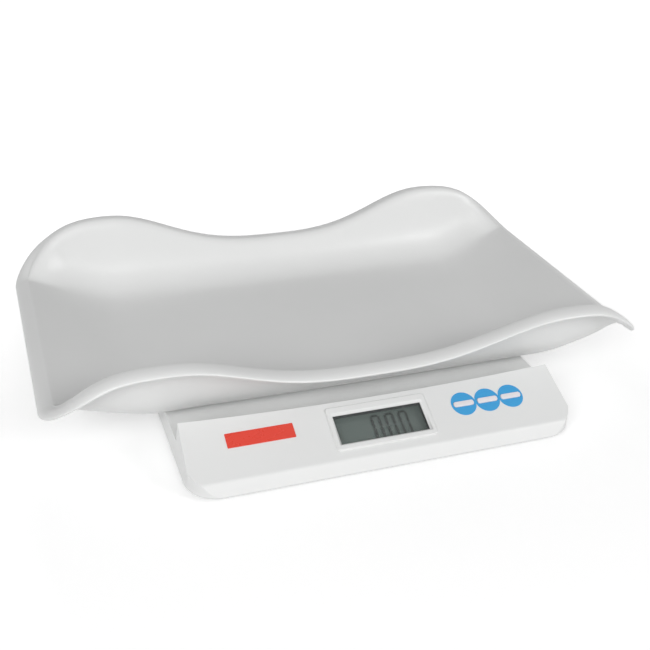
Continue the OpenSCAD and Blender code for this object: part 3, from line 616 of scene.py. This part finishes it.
# Shares of a head's height, of a recess and of a shank; degrees that a screw turns on from the last
screwForm = {"rim": 0.2, "recessTaper": 0.8, "shankTaper": 0.96, "headSegments": 32, "shankSegments": 24,
             "firstTurn": 25, "nextTurn": 37, "flat": 0.000001}
screwKinds = {
    "case_screws": {"name": "caseScrews", "body": "base", "tilt": False, "headUp": False, "head": 0.0026,
                    "headHeight": 0.0018, "shank": 0.0013, "arm": 0.0013, "half": 0.00032, "recess": 0.0009,
                    "cone": 1.0},
    "board_screws": {"name": "boardScrews", "body": "base", "tilt": True, "headUp": False, "head": 0.0022,
                     "headHeight": 0.0016, "shank": 0.001, "arm": 0.0011, "half": 0.00028, "recess": 0.0008,
                     "cone": 1.0},
    "cell_screws_fixed": {"name": "cellScrewsFixed", "body": "base", "tilt": False, "headUp": False,
                          "head": 0.0038, "headHeight": 0.0018, "shank": 0.00195, "arm": 0.0019,
                          "half": 0.00045, "recess": 0.0011, "cone": 0.52},
    "cell_screws_free": {"name": "cellScrewsFree", "body": "platform", "tilt": False, "headUp": True,
                         "head": 0.0039, "headHeight": 0.002, "shank": 0.00195, "arm": 0.0019,
                         "half": 0.00045, "recess": 0.0011, "cone": 0.52},
}


# The lowest and highest corner of each separate solid of a node, in a frame
def solidBoxes(node, place):
    bm = mergedCopy(node)
    bmesh.ops.transform(bm, matrix=place.inverted(), verts=bm.verts)
    boxes = []
    for island in islandsOf(bm):
        boxes.append([Vector([pick(vert.co[k] for vert in island) for k in range(3)]) for pick in (min, max)])
    bm.free()
    return sorted(boxes, key=lambda box: tuple(round(c, 5) for c in box[0]))


# The faces of a mesh whose middle lies on z = 0
def facesOnGround(bm):
    return [face for face in bm.faces if face.calc_center_median().z < screwForm["flat"]]


# A screw along Z with its head at the bottom end, on z = 0
def addScrew(bm, v, length, place):
    form = screwForm
    part = bmesh.new()
    bmesh.ops.create_cone(part, cap_ends=True, segments=form["headSegments"], radius1=v["head"],
                          radius2=v["head"] * v["cone"], depth=v["headHeight"],
                          matrix=Matrix.Translation((0, 0, v["headHeight"] / 2)))
    rim = list(facesOnGround(part)[0].edges)
    bmesh.ops.bevel(part, geom=rim, offset=v["headHeight"] * form["rim"], offset_type="OFFSET",
                    affect="EDGES", segments=2, profile=0.5, material=-1, clamp_overlap=True)
    cap = facesOnGround(part)
    geom = cap + list(cap[0].edges) + list(cap[0].verts)
    for axis in ((1, 0, 0), (0, 1, 0)):
        for at in (-v["arm"], -v["half"], v["half"], v["arm"]):
            cut = bmesh.ops.bisect_plane(part, geom=geom, dist=1e-8, plane_co=Vector(axis) * at,
                                         plane_no=axis)
            geom = cut["geom"]
    cross = []
    for face in facesOnGround(part):
        middle = face.calc_center_median()
        near = sorted((abs(middle.x), abs(middle.y)))
        if near[0] < v["half"] and near[1] < v["arm"]:
            cross.append(face)
    sunk = bmesh.ops.extrude_face_region(part, geom=cross)
    moved = [item for item in sunk["geom"] if isinstance(item, bmesh.types.BMVert)]
    bmesh.ops.translate(part, verts=moved, vec=(0, 0, v["recess"]))
    bmesh.ops.scale(part, verts=moved, vec=(form["recessTaper"], form["recessTaper"], 1))
    bmesh.ops.create_cone(part, cap_ends=True, segments=form["shankSegments"], radius1=v["shank"],
                          radius2=v["shank"] * form["shankTaper"], depth=length - v["headHeight"],
                          matrix=Matrix.Translation((0, 0, (length + v["headHeight"]) / 2)))
    bmesh.ops.transform(part, matrix=place, verts=part.verts)
    mesh = bpy.data.meshes.new("screw")
    part.to_mesh(mesh)
    part.free()
    bm.from_mesh(mesh)
    bpy.data.meshes.remove(mesh)


def addScrews(node, v):
    setting = faceFrame if v["tilt"] else Matrix.Identity(4)
    bm = bmesh.new()
    for number, (low, high) in enumerate(solidBoxes(node, setting)):
        middle = (low + high) / 2
        end = high.z if v["headUp"] else low.z
        flip = Matrix.Rotation(math.pi if v["headUp"] else 0, 4, "X")
        degrees = screwForm["firstTurn"] + screwForm["nextTurn"] * number
        turn = Matrix.Rotation(math.radians(degrees), 4, "Z")
        place = setting @ Matrix.Translation((middle.x, middle.y, end)) @ flip @ turn
        addScrew(bm, v, high.z - low.z, place)
    shadeCleanly(newPiece(bm, v["name"], "screwZinc", v["body"], node))


for node, values in screwKinds.items():
    addScrews(node, values)
print("load cell and screws finished")


# ---- display: a reflector, bare digits over it, and the glass over both ----

display = {"middle": (-0.002, 0.031), "size": (0.0835, 0.0312), "backTop": -0.0077, "backThick": 0.0017,
           "glassTop": -0.0066, "glassThick": 0.001, "edge": 0.0002}
digits = {"starts": (-0.00695, 0.00569, 0.01821), "width": 0.0065, "middle": 0.0312, "height": 0.0224,
          "stroke": 0.0022, "gap": 0.0004, "top": -0.00675, "thick": 0.00005,
          "corner": 0.577}  # the radius of a bar's corners as a share of its stroke


def addPlate(name, finish, top, thick, node=None):
    bm = bmesh.new()
    size = display["size"]
    place = faceFrame @ Matrix.Translation((display["middle"][0], -display["middle"][1], top - thick / 2))
    bmesh.ops.create_cube(bm, size=1, matrix=place @ Matrix.Diagonal((size[0], size[1], thick, 1)))
    bmesh.ops.bevel(bm, geom=list(bm.edges), offset=display["edge"], offset_type="OFFSET", affect="EDGES",
                    segments=2, profile=0.5, material=-1)
    shadeCleanly(newPiece(bm, name, finish, "base", node))


# One bar with pointed ends, along X or Y
def addBar(bm, x, v, length, upright):
    d = digits
    corner = d["stroke"] * d["corner"]
    made = bmesh.ops.create_circle(bm, cap_ends=True, segments=6, radius=corner,
                                   matrix=Matrix.Rotation(math.radians(30), 4, "Z"))
    for vert in made["verts"]:
        vert.co.x += math.copysign((length - d["gap"]) / 2 - corner, vert.co.x)
    turn = Matrix.Rotation(math.radians(90) if upright else 0, 4, "Z")
    place = faceFrame @ Matrix.Translation((x, -v, d["top"])) @ turn
    face = made["verts"][0].link_faces[0]
    thicker = bmesh.ops.extrude_face_region(bm, geom=[face])
    raised = [item for item in thicker["geom"] if isinstance(item, bmesh.types.BMVert)]
    bmesh.ops.translate(bm, verts=raised, vec=(0, 0, -d["thick"]))
    bmesh.ops.transform(bm, matrix=place, verts=made["verts"] + raised)


def addDigits():
    d = digits
    bm = bmesh.new()
    half = d["height"] / 2
    for start in d["starts"]:
        for x in (start, start + d["width"]):
            for side in (-1, 1):
                addBar(bm, x, d["middle"] + side * half / 2, half, True)
        for side in (-1, 1):
            addBar(bm, start + d["width"] / 2, d["middle"] + side * half, d["width"], False)
    bmesh.ops.recalc_face_normals(bm, faces=bm.faces)
    newPiece(bm, "displayDigits", "digitBlack", "base")


addPlate("displayBack", "lcdGrey", display["backTop"], display["backThick"], "lcd_panel")
addPlate("displayGlass", "lcdClear", display["glassTop"], display["glassThick"])
addDigits()
print("display finished")


# ---- stage ----

stageLook = {
    "floorHalf": 6.0, "floorCells": 8, "floor": (0.88, 0.88, 0.88), "cloud": (3.0, 2.0), "cloudDark": 0.99,
    "rough": 0.9, "ambient": 0.24,
    "nearWhite": 0.36, "farWhite": 0.78,  # added to what is seen of the floor, so that it looks white
    "whiteFrom": (0.0, -0.2, 0.0), "near": 0.28, "far": 0.6,  # from where, and at how many metres
    "backdrop": 1.0,
}


# A mask that is 1 for what the camera, a reflection or a clear pane sees
def seenMask(tree):
    path = tree.nodes.new("ShaderNodeLightPath")
    seen = mathNode(tree, "MAXIMUM", path.outputs["Is Camera Ray"], path.outputs["Is Transmission Ray"])
    return mathNode(tree, "MAXIMUM", seen, path.outputs["Is Glossy Ray"])


def addStage(v):
    bm = bmesh.new()
    bmesh.ops.create_grid(bm, x_segments=v["floorCells"], y_segments=v["floorCells"], size=v["floorHalf"])
    mesh = bpy.data.meshes.new("floor")
    bm.to_mesh(mesh)
    bm.free()
    floor = bpy.data.objects.new("floor", mesh)
    bpy.context.scene.collection.objects.link(floor)
    material = bpy.data.materials.new("studioFloor")
    material.use_nodes = True
    tree = material.node_tree
    principled = tree.nodes["Principled BSDF"]
    place = tree.nodes.new("ShaderNodeTexCoord")
    cloud = noise(tree, *v["cloud"])
    tree.links.new(place.outputs["Object"], cloud.inputs["Vector"])
    tone = tree.nodes.new("ShaderNodeMix")
    tone.data_type = "RGBA"
    tone.inputs["A"].default_value = colourOf(v["floor"])
    tone.inputs["B"].default_value = colourOf([c * v["cloudDark"] for c in v["floor"]])
    tree.links.new(cloud.outputs[0], tone.inputs["Factor"])
    tree.links.new(tone.outputs["Result"], principled.inputs["Base Color"])
    principled.inputs["Roughness"].default_value = v["rough"]
    white = tree.nodes.new("ShaderNodeEmission")
    mix = tree.nodes.new("ShaderNodeAddShader")
    moved = tree.nodes.new("ShaderNodeVectorMath")
    moved.operation = "SUBTRACT"
    moved.inputs[1].default_value = v["whiteFrom"]
    tree.links.new(place.outputs["Object"], moved.inputs[0])
    length = tree.nodes.new("ShaderNodeVectorMath")
    length.operation = "LENGTH"
    tree.links.new(moved.outputs["Vector"], length.inputs[0])
    added = mapRange(tree, length.outputs["Value"], v["nearWhite"], v["farWhite"], v["near"], v["far"])
    tree.links.new(mathNode(tree, "MULTIPLY", seenMask(tree), added), white.inputs["Strength"])
    tree.links.new(principled.outputs[0], mix.inputs[0])
    tree.links.new(white.outputs[0], mix.inputs[1])
    tree.links.new(mix.outputs[0], tree.nodes["Material Output"].inputs["Surface"])
    mesh.materials.append(material)


def addWorld(v):
    world = bpy.data.worlds.new("studio")
    bpy.context.scene.world = world
    world.use_nodes = True
    tree = world.node_tree
    tree.nodes.clear()
    ambient = tree.nodes.new("ShaderNodeBackground")
    ambient.inputs["Strength"].default_value = v["ambient"]
    backdrop = tree.nodes.new("ShaderNodeBackground")
    backdrop.inputs["Strength"].default_value = v["backdrop"]
    for background in (ambient, backdrop):
        background.inputs["Color"].default_value = (1, 1, 1, 1)
    mix = tree.nodes.new("ShaderNodeMixShader")
    out = tree.nodes.new("ShaderNodeOutputWorld")
    tree.links.new(seenMask(tree), mix.inputs["Fac"])
    tree.links.new(ambient.outputs[0], mix.inputs[1])
    tree.links.new(backdrop.outputs[0], mix.inputs[2])
    tree.links.new(mix.outputs[0], out.inputs["Surface"])


# Metres and watts
lamps = {
    "frontLamp": {"place": (-0.2, -2.1, 1.3), "aim": (0.0, 0.0, 0.05), "size": 1.0, "power": 8.0},
    "leftLamp": {"place": (-1.5, -1.6, 1.2), "aim": (0.0, 0.0, 0.05), "size": 1.0, "power": 23.0},
    "rightLamp": {"place": (1.5, -1.6, 1.2), "aim": (0.0, 0.0, 0.05), "size": 1.0, "power": 17.0},
}


def addLamp(name, v):
    data = bpy.data.lights.new(name, "AREA")
    data.shape = "DISK"
    data.size = v["size"]
    data.energy = v["power"]
    lamp = bpy.data.objects.new(name, data)
    lamp.visible_camera = False
    bpy.context.scene.collection.objects.link(lamp)
    aim = Vector(v["aim"]) - Vector(v["place"])
    lamp.matrix_world = Matrix.Translation(v["place"]) @ aim.to_track_quat("-Z", "Y").to_matrix().to_4x4()


addStage(stageLook)
addWorld(stageLook)
for name, values in lamps.items():
    addLamp(name, values)
bpy.context.scene.view_settings.view_transform = "Standard"
print("stage and lamps placed")
